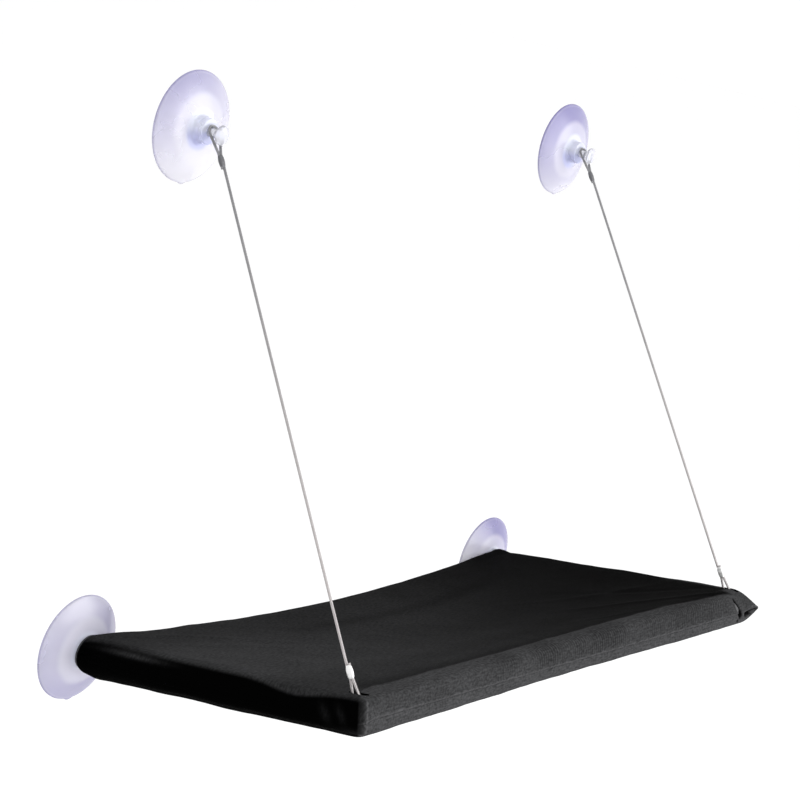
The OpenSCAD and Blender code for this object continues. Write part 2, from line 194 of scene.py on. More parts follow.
# The lamp lights the front from the right; the cover's colour adds painted light to its front face
# as well.
lamp_at, lit_spot = Vector((1.5, -2.6, 0.6)), Vector((0, -0.2, 0.1))
lamp_data = bpy.data.lights.new("front_light", "AREA")
lamp_data.shape = "DISK"
lamp_data.size = 2.6
lamp_data.energy = 60
aim(add_object("front_light", lamp_data), lamp_at, lit_spot - lamp_at)

floor_half, floor_z = 20.0, -0.6
floor = mesh_object("floor", [(x * floor_half, y * floor_half, floor_z)
                              for x, y in ((-1, -1), (1, -1), (1, 1), (-1, 1))], [(0, 1, 2, 3)])
floor.data.materials.append(material("pale_floor", paint_floor, Roughness=0.9))


# Rails, elbows and rear sockets.
# A U of three plastic tubes with moulded elbows pressed into their ends, and a socket at each
# rear end that takes the neck of a lower cup. The cover hides nearly all of it.
def dress(names, finish):
    """These CAD nodes keep their meshes and take this material."""
    for name in names:
        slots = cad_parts[name].data.materials
        slots.clear()
        slots.append(finish)


def paint_tube(t):
    at = t.place()
    cloud = t.noise(at, 35.0)
    grain = t.noise(at, 900.0)
    return {"Base Color": t.colour(cloud, (0.80, 0.80, 0.78), (0.87, 0.87, 0.85)),
            "Roughness": t.ramp(cloud, 0.2, 0.8, 0.36, 0.5),
            "Normal": t.bump(grain, 0.12, 0.0002)}


def paint_moulding(t):
    at = t.place()
    grain = t.noise(at, 1500.0, 2.0)
    cloud = t.noise(at, 25.0)
    return {"Base Color": t.colour(cloud, (0.022, 0.022, 0.024), (0.034, 0.034, 0.037)),
            "Roughness": t.ramp(grain, 0.3, 0.7, 0.42, 0.56),
            "Normal": t.bump(grain, 0.25, 0.0002)}


dress(["front_rail", "left_rail", "right_rail"], material("tube_plastic", paint_tube))
dress(["left_elbow", "right_elbow", "left_rear_socket", "right_rear_socket"],
      material("moulded_plastic", paint_moulding))


# Loop pins.
# A short steel pin lies across the pocket in each elbow, and the cable's lower eye goes round it.
# It is dressed with fine lines along its length, as drawn wire has.
def paint_pin(t):
    at = t.place()
    lines = t.noise(t.vector("MULTIPLY", at, (60.0, 2500.0, 2500.0)), 1.0, 2.0)
    return {"Base Color": t.colour(lines, (0.62, 0.63, 0.65), (0.78, 0.79, 0.8)),
            "Roughness": t.ramp(lines, 0.3, 0.7, 0.2, 0.34),
            "Normal": t.bump(lines, 0.1, 0.00005)}


dress(["left_loop_pin", "right_loop_pin"], material("pin_steel", paint_pin, Metallic=1.0))

# Canvas cover.
# Two panels of black woven canvas wrap the rails and are sewn together low on the front and sides.
# The top one sags, stands out in an ear at the front right corner, and has a slit at each cable.

# Sizes are in millimetres, in the frame of the bed, which bed_slope tips up towards the room.
MM = 0.001
half_width = 290.0
bed_depth = 241.0
bed_slope = math.radians(11)
bed_standoff = 28.0
fitting_r = 13.9
cover_ease, canvas = 0.5, 1.1
cover_out = fitting_r + cover_ease + canvas
top_sag, bottom_sag = 15.0, 3.0
lip_half, rear_bow = 3.1, 5.0
seam_angle, front_seam_angle, seam_run = 17.0, 9.0, 60.0
slit_length, slit_width = 17.0, 5.0
slit_from, slit_to = 2.0, 30.0
hub_hole_r, hub_hole_from, hub_hole_to = 12.0, -1.0, 15.5
ear_reach, ear_run, ear_droop = 15.0, 74.0, 4.5
ear_far = math.hypot(cover_out, cover_out + ear_reach)

# Powers of the rounded box that the cloth makes in section: 2 is round, and more is squarer.
# A gain is added to the power, towards the ends or on one side.
round_power, nose_power = 2, 8
front_power, front_end_gain, ear_power = 3.4, 3.4, 2.1
side_gain, corner_gain, rear_gain, rear_end_gain = 3.0, 5, 2, 4

# Tones of painted light and shade in the cloth's colour, for the top, the underside, the front and
# the lower front, and where the top turns over into the front face and the left side.
near_tone, under_tone, front_tone, lower_front_tone = 0.62, 0.3, 0.84, 1.05
fold_y, fold_lean, roll_z = -235.5, 16, 14.5

# Long soft folds as from x, y, to x, y, width and height in millimetres on the flat cloth.
FOLDS = [
    (-296, -262, -130, -150, 5, 0.9), (-286, -258, -190, -120, 4, -0.7),
    (-292, -225, -90, -185, 4, 0.7), (-250, -262, -60, -200, 4, 0.6),
    (296, -262, 120, -150, 5, 0.9), (288, -235, 180, -110, 5, -0.8),
    (250, -262, 70, -195, 4, 0.7), (292, -190, 120, -100, 5, 0.6),
    (-288, 8, -130, -80, 5, 0.8), (-292, -30, -120, -110, 5, 0.6),
    (288, 8, 140, -75, 5, 0.8), (-200, 14, -60, -60, 5, 0.5),
    (200, 14, 70, -55, 5, 0.5), (-40, -262, 30, -160, 6, 0.5),
]

# Tucks at the ear as from x, z, to x, z, width and depth in millimetres on the front face.
TUCKS = [
    (270, 10, 286, -8.5, 2.7, 3.2), (319, -4.6, 293, -7.3, 2.2, 3.0), (277, -10, 281, -12, 1.5, 1.5),
    (258, 13, 272, -6, 3.0, -0.6), (292, 8, 298, -2, 4.5, -0.7),
]

# Painted highlights as x, z, half widths and gain on the front, and as y, z, ... on the left side.
FRONT_HIGHLIGHTS = [(-98, 3.5, 40, 4.5, 0.14), (-292, 3, 7, 6, 0.2), (-262, 1, 24, 4, 0.14)]
SIDE_HIGHLIGHTS = [(-223, 1, 3.5, 6, 0.10), (-237, 2, 3.0, 6, 0.10), (-250, -9, 12, 2.5, 0.10),
           (-42, 11.5, 26, 1.8, 0.45)]


def smooth(a, b, value):
    """Rises softly from nought at a to one at b."""
    t = np.clip((value - a) / (b - a), 0, 1)
    return t * t * (3 - 2 * t)


def bell(value, at, wide):
    return np.exp(-((value - at) / wide) ** 2)


def axes(points):
    return np.moveaxis(points, -1, 0)


def to_world(p):
    """Millimetres in the bed's frame to metres in the shared frame."""
    x, y, z = axes(np.asarray(p, float))
    c, s = math.cos(bed_slope), math.sin(bed_slope)
    return np.stack([x, y * c + z * s - bed_standoff, z * c - y * s], -1) * MM


def rear_radius(x):
    """Half the cover's height at its rear edge: full at the sockets and a thin lip between."""
    return cover_out - (cover_out - lip_half) * np.maximum(
        0, np.cos(math.pi / 2 * x / half_width)) ** 1.2


def rear_y(x):
    return cover_out - rear_bow * (1 - (x / half_width) ** 2) - rear_radius(x)


def ear_share(y):
    """How full the ear is at this distance behind the front rail."""
    return np.clip(1 - (y + cover_out) / (ear_run + cover_out), 0, 1) ** 1.2


def ear_x(y):
    return cover_out + ear_reach * ear_share(y)


def stations():
    """Places round the rails: where, which way is out, and how far the cloth reaches up and out.
    They lie closer together at the ear, for its tucks."""
    fine_from, coarse, fine = 250, 270, 60
    ear_steps, lap, side, turn, sharp_turn, rear = 40, 12, 84, 18, 24, 120
    rows = []
    for x in [*np.linspace(-half_width, fine_from, coarse, endpoint=False),
              *np.linspace(fine_from, half_width, fine + 1)]:
        rows.append((x, -bed_depth, -90, cover_out, cover_out))
    for over in np.linspace(0, cover_out + ear_reach, ear_steps + 1)[1:]:
        rows.append((half_width, -bed_depth, math.degrees(math.atan2(-cover_out, over)), cover_out,
                     math.hypot(cover_out, over)))
    for y in np.linspace(-cover_out, 0, lap + 1)[1:]:
        rows.append((half_width, -bed_depth, math.degrees(math.atan2(y, ear_x(y))), cover_out,
                     math.hypot(y, ear_x(y))))
    for y in np.linspace(0, bed_depth, side + 1)[1:]:
        rows.append((half_width, -bed_depth + y, 0, cover_out, ear_x(min(y, ear_run))))
    for i in range(1, turn):
        rows.append((half_width, 0, 90 * i / turn, cover_out, cover_out))
    for x in np.linspace(half_width, -half_width, rear + 1):
        rows.append((x, rear_y(x), 90, rear_radius(x), rear_radius(x)))
    for i in range(1, turn):
        rows.append((-half_width, 0, 90 + 90 * i / turn, cover_out, cover_out))
    for y in np.linspace(0, -bed_depth, side + 1):
        rows.append((-half_width, y, 180, cover_out, cover_out))
    for i in range(1, sharp_turn):
        rows.append((-half_width, -bed_depth, 180 + 90 * i / sharp_turn, cover_out, cover_out))
    return np.array(rows, float)


AT_X, AT_Y, TURNED, RADIUS, REACH = stations().T
OUT_X, OUT_Y = np.cos(np.radians(TURNED)), np.sin(np.radians(TURNED))
SLACK = np.clip((REACH - RADIUS) / (ear_far - cover_out), 0, 1)
LEFT = AT_X < 0


def boxed(a, b, power):
    """How far a ray may go before it leaves a rounded box, from its two shares of the way."""
    return (np.abs(a) ** power + np.abs(b) ** power + 1e-12) ** (-1 / power)


def point_ear(points):
    """Flattens the loose cloth past the front right elbow to a point, a little below its middle."""
    x, y, z = axes(points)
    share = ear_share(y + bed_depth)
    over = np.clip((x - half_width) / (cover_out + ear_reach * share), 0, 1)
    thin = 1 - 0.85 * share * over ** np.where(z > 0, 1.7, 2.6)
    hang = 1 + 0.08 * smooth(0, 200, x) * smooth(0, -8, z)
    return np.stack([x, y, z * thin * hang - ear_droop * share * over ** 2], -1)


def edge_ring(angle):
    """The cloth round the rails at this angle in degrees above the level, one point a station.
    It is boxy along the front and the left side, round under the seam, and pointed at the ear."""
    a = np.radians(angle)
    flat, up = np.cos(a), np.sin(a)
    end = np.abs(AT_X / half_width)
    fuller = 25 * smooth(-80, 80, AT_X)
    above = smooth(-50 - fuller, -fuller, angle)
    front, rear = np.clip(-OUT_Y, 0, 1) ** 2, np.clip(OUT_Y, 0, 1) ** 2
    box_front = front_power + front_end_gain * end ** 2
    box_front = box_front + (ear_power - box_front) * smooth(225, 282, AT_X) * smooth(-15, 15, angle)
    box_side = round_power + side_gain * smooth(0, 110, -AT_Y) * LEFT
    box = round_power + above * (front * box_front + OUT_X ** 2 * box_side
                                 + (rear - 1) * round_power)
    box = box + rear * (rear_gain + rear_end_gain * end ** 4)
    far = boxed(flat, up, box)
    square = LEFT & (AT_Y < -1) & (OUT_Y < 0) & (OUT_X < -1e-6)
    wide = far * boxed(OUT_X, OUT_Y, round_power + corner_gain * above * square)
    nose = (np.abs(AT_X) > half_width - 0.01) & (AT_Y > -0.01) & (OUT_Y > 1e-6)
    tube = boxed(np.hypot(flat * OUT_X, up), flat * OUT_Y, nose_power)
    far, wide = np.where(nose, tube, far), np.where(nose, tube, wide)
    h = REACH * wide * flat
    return point_ear(np.stack([AT_X + h * OUT_X, AT_Y + h * OUT_Y, RADIUS * far * up], -1))


def inner_ring(share, up):
    """The flat of a panel, as a copy of the rails' outline shrunk to this share."""
    x = AT_X * share
    y = -bed_depth / 2 + (AT_Y + bed_depth / 2) * share
    along = np.clip((y + bed_depth / 2) / (bed_depth / 2), -1, 1)
    drop = (cover_out - rear_radius(x)) * ((1 + along) / 2) ** 2.5
    sag = (1 - (x / half_width) ** 2) * (1 - along ** 2)
    z = cover_out - top_sag * sag - drop if up > 0 else -cover_out - bottom_sag * sag + drop
    return np.stack([x, y, z], -1)


def seam_line():
    """The seam's angle: just below the middle of the front and sides, and level at the rear."""
    front = np.clip(-OUT_Y, 0, 1) ** 2
    lower = seam_angle * (1 - front) + front_seam_angle * (1 + AT_X / half_width) * front
    return -lower * np.clip(-AT_Y / seam_run, 0, 1) * (1 - smooth(0, 0.6, SLACK))


def creases(flat):
    """Long soft folds pulled from the corners and across the sag, in millimetres up."""
    x, y = axes(flat)
    total = np.zeros(x.shape)
    for x0, y0, x1, y1, width, height in FOLDS:
        length = math.hypot(x1 - x0, y1 - y0)
        way_x, way_y = (x1 - x0) / length, (y1 - y0) / length
        along = ((x - x0) * way_x + (y - y0) * way_y) / length
        off = (y - y0) * way_x - (x - x0) * way_y - 0.05 * length * np.sin(math.pi * along)
        fade = np.clip(along, 0, 1) * np.clip(1 - along, 0, 1) * 4
        total += height * fade ** 0.7 * bell(off, 0, width)
    return total


def tucks(points):
    """How deep the tucks at the ear are at these points of the front face, and how much painted
    shade darkens them.
    """
    x, y, z = axes(points)
    total = np.zeros(x.shape)
    for x0, z0, x1, z1, width, depth in TUCKS:
        length = math.hypot(x1 - x0, z1 - z0)
        way_x, way_z = (x1 - x0) / length, (z1 - z0) / length
        along = ((x - x0) * way_x + (z - z0) * way_z) / length
        off = (z - z0) * way_x - (x - x0) * way_z
        narrow = width * (0.3 + 0.7 * np.clip(along, 0, 1))
        total += (depth * smooth(-0.08, 0.15, along) * smooth(1.08, 0.9, along)
                  * bell(off, 0, narrow))
    return (total * smooth(-bed_depth - 4, -bed_depth - 9, y),
            np.clip(total, 0, 1) ** 1.5 * smooth(-bed_depth, -bed_depth - 3, y))


def rough_cloth(points, size, seed):
    """Soft unevenness of the flat cloth, with swells of about this size in millimetres."""
    return np.array([noise.noise(Vector((p[0] / size, p[1] / size, seed))) for p in
                     points.reshape(-1, 2)]).reshape(points.shape[:-1])


def turn_nose(points):
    """The rear ends of the cover point straight at the glass, along the sockets inside them."""
    x, y, z = axes(points)
    a = bed_slope * smooth(228, 264, np.abs(x)) * smooth(-7, 5, y)
    return np.stack([x, y * np.cos(a) - z * np.sin(a), y * np.sin(a) + z * np.cos(a)], -1)


def ear_highlight(x, y):
    """Where a painted highlight lies on the top panel, on the loose cloth of the ear."""
    behind = smooth(297, 303, x)
    lit = np.maximum(smooth(-238, -243, y), smooth(287, 291, x))
    return smooth(-168 + 55 * behind, -186, y) * lit * smooth(266, 280, x)


def top_shading(x, y):
    """Painted light and shade on the top: dark grey at the near left and nearly black at the far
    right, with a soft band of painted shade.
    """
    far = np.clip((x + half_width) / (2 * half_width), 0, 1)
    tone = (near_tone - 0.24 * smooth(-80, -10, y) * (1 - far)) * np.exp(-3.35 * far ** 2.1)
    tone = tone * (1 - 0.25 * smooth(-150, -190, y))
    tone = tone * (1 + 0.65 * smooth(-135, -45, y) * smooth(-90, 60, x))
    band = bell(y, -46 - 4 * np.sin(x / 55), 9) * smooth(-150, -40, x) * smooth(270, 160, x)
    return tone * (1 - 0.3 * band)


def finish_mesh(mesh, finish, weld=1e-7):
    work = bmesh.new()
    work.from_mesh(mesh)
    bmesh.ops.remove_doubles(work, verts=work.verts, dist=weld)
    bmesh.ops.recalc_face_normals(work, faces=work.faces)
    for face in work.faces:
        face.smooth = True
    work.to_mesh(mesh)
    work.free()
    mesh.materials.clear()
    mesh.materials.append(finish)


def skin_faces(count, rows, start, flip):
    """The faces of one skin, from the seam in to the point in its middle."""
    faces = []
    for row in range(rows):
        low = start + row * count
        for i in range(count):
            j = (i + 1) % count
            face = ([low + i, low + j, low + count + j, low + count + i] if row < rows - 1
                    else [low + i, low + j, start + rows * count])
            faces.append(face[::-1] if flip else face)
    return faces


class Panel:
    """One panel, as rows of points from the seam round the rails and in to the middle."""

    def __init__(self, up, edge_steps, flat_steps):
        seam = seam_line()
        angles = [seam + (up * 90 - seam) * (i / edge_steps) ** 1.1 for i in range(edge_steps)]
        rows = [edge_ring(angle) for angle in angles]
        rows += [inner_ring(1 - k / flat_steps, up) for k in range(flat_steps)]
        skin = np.array(rows)
        step = np.linalg.norm(np.diff(skin[:edge_steps + 1], axis=0), axis=-1)
        arc = np.concatenate([np.cumsum(step[::-1], axis=0)[::-1],
                              np.zeros((flat_steps, len(seam)))])
        self.up = up
        self.angles = np.array(angles + [np.full(len(seam), up * 90.0)] * flat_steps)
        self.flats = skin[..., :2].copy()
        self.flats[:edge_steps] = np.stack([AT_X + arc[:edge_steps] * OUT_X,
                                            AT_Y + arc[:edge_steps] * OUT_Y], -1)
        self.from_seam = arc[0] - arc
        self.calm = smooth(0, 7, self.from_seam)
        self.facing = np.maximum(smooth(0.55, 0.8, -OUT_Y), smooth(0.1, 0.5, SLACK))
        a = np.radians(self.angles)
        outs = np.stack([np.cos(a) * OUT_X, np.cos(a) * OUT_Y, np.sin(a)], -1)
        lift = self.relief()[..., None]
        tuck, self.gloom = tucks(skin)
        skin = skin + tuck[..., None] * [0, 1, 0]
        self.inner = turn_nose(skin + outs * (lift - canvas))
        self.outer = turn_nose(skin + outs * lift)

    def relief(self):
        """How far folds, hem and pinched seam stand out of the smooth cloth, in millimetres."""
        swell = creases(self.flats) if self.up > 0 else 0.3 * rough_cloth(self.flats, 45.0, 3.0)
        swell = (swell + 0.6 * rough_cloth(self.flats, 38.0, 7.0)
                 + 0.2 * rough_cloth(self.flats, 13.0, 1.0))
        shown = 0.3 + 0.7 * self.facing
        hem = 0.5 * shown * bell(self.from_seam, 1.7, 1.0) if self.up > 0 else 0
        pinch = -0.15 * shown * bell(self.from_seam, 0, 0.8)
        corner = 0.5 * bell(TURNED, 225, 7) * LEFT
        corner = corner * smooth(60, 30, self.angles) * smooth(-60, -30, self.angles)
        return (swell + corner) * self.calm + hem + pinch

    def zones(self):
        """The painted light and shade of the cloth and the strength of its woven ribs, place by
        place.
        """
        top = self.up > 0
        x, y, z = axes(self.outer)
        # The front face is painted light as far as the fold, where it turns into the top.
        fold = fold_y - fold_lean * smooth(60, 300, x)
        lit = np.where(self.angles > 45, smooth(1.5, -1.5, y - fold), 1)
        front = self.facing * (lit if top else smooth(-80, -55, self.angles))
        if top:
            front = np.maximum(front, ear_highlight(x, y))
        # The left side is painted black, as shade, below the roll along its upper edge.
        roll = roll_z - 5 * bell(y, -195, 26)
        side = (1 - self.facing) * smooth(1.6, -1.6, z - roll) * smooth(0.2, 0.7, -OUT_X)
        side = np.where(self.angles > 89, 0, side)
        under = smooth(-55, -80, self.angles)
        tone = top_shading(x, y) * (1 - side) * (1 - under) + under_tone * under
        # Painted shade in a band along the fold.
        tone = tone * (1 - 0.5 * bell(y, fold, 16) * smooth(-292, -262, x))
        tone = tone * (1 - front) + (front_tone if top else lower_front_tone) * front
        # Painted highlights on the raised hem, the front left corner and the creases at it, with a
        # little painted shade beside the corner's ridge.
        tone += 0.5 * front * bell(self.from_seam, 0.9, 0.9) * top
        corner = bell(TURNED % 360, 236, 2.5) - 0.5 * bell(TURNED % 360, 226, 5)
        tone += 0.75 * corner * smooth(55, 35, np.abs(self.angles)) * LEFT
        for at_x, at_z, wide, high, gain in FRONT_HIGHLIGHTS:
            tone += gain * front * bell(x, at_x, wide) * bell(z, at_z, high)
        for at_y, at_z, wide, high, gain in SIDE_HIGHLIGHTS:
            tone += gain * side * bell(y - (z - at_z) * 0.4, at_y, wide) * bell(z, at_z, high)
        # Painted shade in the tucks at the ear.
        tone = tone * (1 - 0.96 * self.gloom)
        ribs = self.facing * lit * self.calm * smooth(-170, -60, self.flats[..., 0]) * top
        ribs = ribs * np.clip(0.75 + 1.3 * rough_cloth(self.flats * [1, 0.3], 35.0, 9.0), 0, 1)
        return np.stack([tone, ribs], -1)

    def build(self, name, finish, inner_every=3, weld=2e-6):
        """Both skins a canvas apart, closed round the sewn edge. The inner one has fewer rows."""
        count, rows = len(AT_X), len(self.outer)
        kept = sorted({*range(0, rows, inner_every), rows - 1})

        def both(outer, inner, middle, inner_middle):
            wide = outer.shape[-1]
            return np.concatenate([outer.reshape(-1, wide), [middle],
                                   inner[kept].reshape(-1, wide), [inner_middle]])

        centre = np.array([0, -bed_depth / 2, self.outer[-1, :, 2].mean()])
        points = both(self.outer, self.inner, centre, centre - [0, 0, self.up * canvas])
        cloth = both(self.flats, self.flats, centre[:2], centre[:2]) * MM
        zones = self.zones()
        zones = both(zones, zones, zones[-1].mean(0), zones[-1].mean(0))
        inner_start = rows * count + 1
        faces = skin_faces(count, rows, 0, False)
        faces += skin_faces(count, len(kept), inner_start, True)
        faces += [[(i + 1) % count, i, inner_start + i, inner_start + (i + 1) % count]
                  for i in range(count)]
        made = mesh_object(name, [tuple(p) for p in to_world(points)], faces)
        corners = np.zeros(len(made.data.loops), np.int32)
        made.data.loops.foreach_get("vertex_index", corners)
        for label, values in (("cloth", cloth), ("zones", zones)):
            made.data.uv_layers.new(name=label).data.foreach_set(
                "uv", values[corners].astype(np.float32).ravel())
        finish_mesh(made.data, finish, weld)
        return made


def cut(target, cutters):
    """Takes the cutters out of the target and deletes them."""
    for cutter in cutters:
        tool = target.modifiers.new("cut", "BOOLEAN")
        tool.operation = "DIFFERENCE"
        tool.solver = "EXACT"
        tool.object = cutter
    graph = bpy.context.evaluated_depsgraph_get()
    mesh = bpy.data.meshes.new_from_object(target.evaluated_get(graph), depsgraph=graph)
    old = target.data
    target.modifiers.clear()
    target.data = mesh
    mesh.name = target.name
    bpy.data.meshes.remove(old)
    for cutter in cutters:
        bpy.data.meshes.remove(cutter.data)


def prism(name, outline, low, high, to):
    """A closed prism over a flat outline, with its ends at low and high."""
    n = len(outline)
    points = [tuple(to((x, y, z))) for z in (low, high) for x, y in outline]
    faces = [list(range(n))[::-1], list(range(n, 2 * n))]
    faces += [[i, (i + 1) % n, n + (i + 1) % n, n + i] for i in range(n)]
    made = mesh_object(name, points, faces)
    work = bmesh.new()
    work.from_mesh(made.data)
    bmesh.ops.recalc_face_normals(work, faces=work.faces)
    work.to_mesh(made.data)
    work.free()
    return made


def hub_cutters():
    """What lets a cup's neck into the rear ends of the cover."""
    rim = [(hub_hole_r * math.cos(a), hub_hole_r * math.sin(a))
           for a in np.linspace(0, math.tau, 64, endpoint=False)]
    return [prism("hub", rim, hub_hole_from, hub_hole_to,
                  lambda p, s=side: ((s * half_width + p[0]) * MM, -p[2] * MM, p[1] * MM))
            for side in (-1, 1)]


def slit_outline():
    r, half = slit_width / 2, (slit_length - slit_width) / 2
    ends = [math.radians(d) for d in range(0, 181, 15)]
    return ([(r * math.cos(a), half + r * math.sin(a)) for a in ends]
            + [(-r * math.cos(a), -half - r * math.sin(a)) for a in ends])


def slit_cutters():
    """What opens the top panel over each loop pin, from inside the cover to clear of the cloth."""
    return [prism("slit", slit_outline(), slit_from, slit_to,
                  lambda p, s=side: to_world((s * half_width + p[0], -bed_depth + p[1], p[2])))
            for side in (-1, 1)]


def paint_canvas(t):
    cloth = t.node("ShaderNodeUVMap", {"uv_map": "cloth"})
    along = t.node("ShaderNodeSeparateXYZ", {}, {0: cloth})
    tone = t.node("ShaderNodeSeparateXYZ", {}, {0: t.node("ShaderNodeUVMap", {"uv_map": "zones"})})
    over, ribbed = along.other("Y"), tone.other("Y")
    pitch, rib_pitch = 0.0011, 0.0034
    warp = t.math("SINE", along * (math.tau / pitch))
    weft = t.math("SINE", over * (math.tau / pitch))
    weave = warp * weft * 0.5 + 0.5
    fuzz = t.noise(cloth, 2600.0, 2.0)
    cloud = t.noise(cloth, 26.0, 4.0)
    lint = t.ramp(t.noise(cloth, 420.0, 2.0), 0.32, 0.68)
    slub = t.ramp(t.noise(t.vector("MULTIPLY", cloth, (140.0, 700.0, 1.0)), 1.0, 2.0), 0.35, 0.65)
    sway = t.noise(t.vector("MULTIPLY", cloth, (60.0, 20.0, 1.0)), 1.0, 2.0)
    rib = t.math("SINE", along * (math.tau / rib_pitch) + sway * 4.0) * 0.5 + 0.5
    mottle = (cloud - 0.5) * 0.5 + (lint - 0.5) * 0.45 + (slub - 0.5) * 0.35 + (weave - 0.5) * 0.2
    # The first channel of the second UV map is painted light and shade, which scales the cloth's
    # colour with its own mottle and ribs.
    shade = tone * (mottle + 1.0) * (1.0 - rib * ribbed * 0.42) * 0.6
    relief = weave * 0.5 + fuzz * 0.3 + lint * 0.3 + rib * ribbed * 0.9
    return {"Base Color": t.colour(t.math("MAXIMUM", shade, 0.0), (0.0001, 0.0001, 0.0001),
                                   (0.075, 0.0753, 0.078)),
            "Roughness": t.ramp(fuzz, 0.2, 0.8, 0.8, 0.95),
            "Normal": t.bump(relief, 0.45, 0.0004)}


black_canvas = material("black_canvas", paint_canvas, Specular_IOR_Level=0.012)

cover_bottom = Panel(-1, 20, 30).build("cover_bottom_cloth", black_canvas)
cut(cover_bottom, hub_cutters())
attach(cover_bottom, "bed")
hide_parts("cover_bottom")

cover_top = Panel(1, 36, 50).build("cover_top_cloth", black_canvas)
cut(cover_top, hub_cutters() + slit_cutters())
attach(cover_top, "bed")
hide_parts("cover_top")


# Touch tapes.
# The cover opens along its rear edge. A strip of hooks under the top panel presses on a strip
# of loops over the bottom one.
def paint_tape(t):
    at = t.place()
    tufts = t.node("ShaderNodeTexVoronoi", {}, {"Vector": at, "Scale": 1300.0})
    return {"Base Color": t.colour(tufts, (0.03, 0.03, 0.03), (0.008, 0.008, 0.008)),
            "Roughness": t.ramp(tufts, 0.0, 0.6, 0.7, 0.95),
            "Normal": t.bump(tufts, 0.8, 0.0004)}


dress(["rear_hook_tape", "rear_loop_tape"], material("touch_tape", paint_tape))

# Suction cups.
# Four cups turned in soft clear vinyl with a lilac tint, each with a hollow face on the glass,
# a neck towards the room and a small tab to peel it off by. The lower two sit in the sockets.
cup_r, crown_r, neck_r = 42.5, 13.0, 10.0
cup_rim, cup_crown, cup_hollow, cup_seal = 1.0, 10.2, 7.4, 4.0
neck_end, neck_flare, neck_round = 19.0, 3.0, 0.9
tab_out, tab_r, tab_pinch, tab_root = 1.2, 9.0, 40.0, 0.07
upper_spacing, upper_height = 540.0, 410.0
peg_r, peg_grip, peg_play = 3.5, 9.0, 0.03
# tint_up is the way the painted shade on a cup deepens towards its top, and shaded_way the way its
# painted neck shadow falls.
tint_up, shaded_way = 0.87, (-0.3, -0.95)


def cup_outline():
    """Half a cup in section as radius and height: hollow face, seal, rim, back, neck and bore."""
    steps, turn = 40, 8
    seal_r, back_r = cup_r - cup_seal, cup_r - 0.3
    rows = []
    for i in range(steps + 1):
        r = seal_r * i / steps
        rows.append((r, cup_hollow * (1 - (r / seal_r) ** 2) ** 0.8))
    rows += [(cup_r - 3, 0.05), (cup_r - 1, 0), (cup_r - 0.25, 0.1), (cup_r, 0.35), (cup_r, 0.7)]
    for i in range(steps, -1, -1):
        r = crown_r + (back_r - crown_r) * i / steps
        share = max(0, (r - crown_r) / (cup_r - crown_r))
        rows.append((r, cup_rim + (cup_crown - cup_rim) * (1 - share ** 1.8)))
    for i in range(1, turn + 1):
        a = math.pi / 2 * i / turn
        rows.append((crown_r - (crown_r - neck_r) * math.sin(a),
                     cup_crown + neck_flare * (1 - math.cos(a))))
    for i in range(turn - 1):
        a = math.pi / 2 * i / (turn - 2)
        rows.append((neck_r - neck_round + neck_round * math.cos(a),
                     neck_end - neck_round + neck_round * math.sin(a)))
    hole, floor_at = peg_r + peg_play, neck_end - peg_grip
    rows += [(hole + 0.5, neck_end), (hole + 0.12, neck_end - 0.12), (hole, neck_end - 0.5),
             (hole, floor_at), (hole - 0.5, floor_at - 0.5), (0, floor_at - 0.5)]
    return rows


def tab_bulge(a):
    """How far the rim stands out for the tab at this turn. The tab hangs straight down."""
    off = math.hypot(math.cos(a), math.sin(a) + 1)
    ahead = (cup_r + tab_out - tab_r) * (1 - off * off / 2)
    return max(0, ahead + math.sqrt(max(0, tab_r ** 2 - (tab_pinch * off) ** 2)) - cup_r)


def lathe(name, outline, x, z, turns, bulge=None):
    """An outline of radius and height turned about an axis that leaves the glass at x, z."""
    count = len(outline)
    points, faces = [], []
    for j in range(turns):
        a = math.tau * j / turns
        k = (j + 1) % turns
        out = bulge(a) if bulge else 0
        for r, h in outline:
            wide = r + out * max(0, (r / cup_r - 1 + tab_root) / tab_root)
            points.append(((x + wide * math.cos(a)) * MM, -h * MM, (z + wide * math.sin(a)) * MM))
        for i in range(count - 1):
            faces.append((j * count + i, j * count + i + 1, k * count + i + 1, k * count + i))
    return mesh_object(name, points, faces)


def tint_cup(mesh, outline, turns, x, z, tint):
    """Gives each point how far out it is, how deep its tint is and how far it faces downwards.
    The tint is its depth in the middle, what painted shade adds to it towards the top,
    how far aside that leans, and how strong the painted shadow under the neck is."""
    depth, gain, lean, shade = tint
    points = np.zeros(len(mesh.vertices) * 3, np.float32)
    mesh.vertices.foreach_get("co", points)
    flat = points.reshape(-1, 3)[:, [0, 2]] / MM - [x, z]
    away = np.maximum(np.linalg.norm(flat, axis=1), 1)
    for label, values in (
            ("from_axis", np.array([r for r, h in outline] * turns) / cup_r),
            ("deep", depth + gain * (flat @ [lean, tint_up]) / cup_r),
            ("fall", shade * (flat @ shaded_way) / away)):
        mesh.attributes.new(label, "FLOAT", "POINT").data.foreach_set(
            "value", values.astype(np.float32))


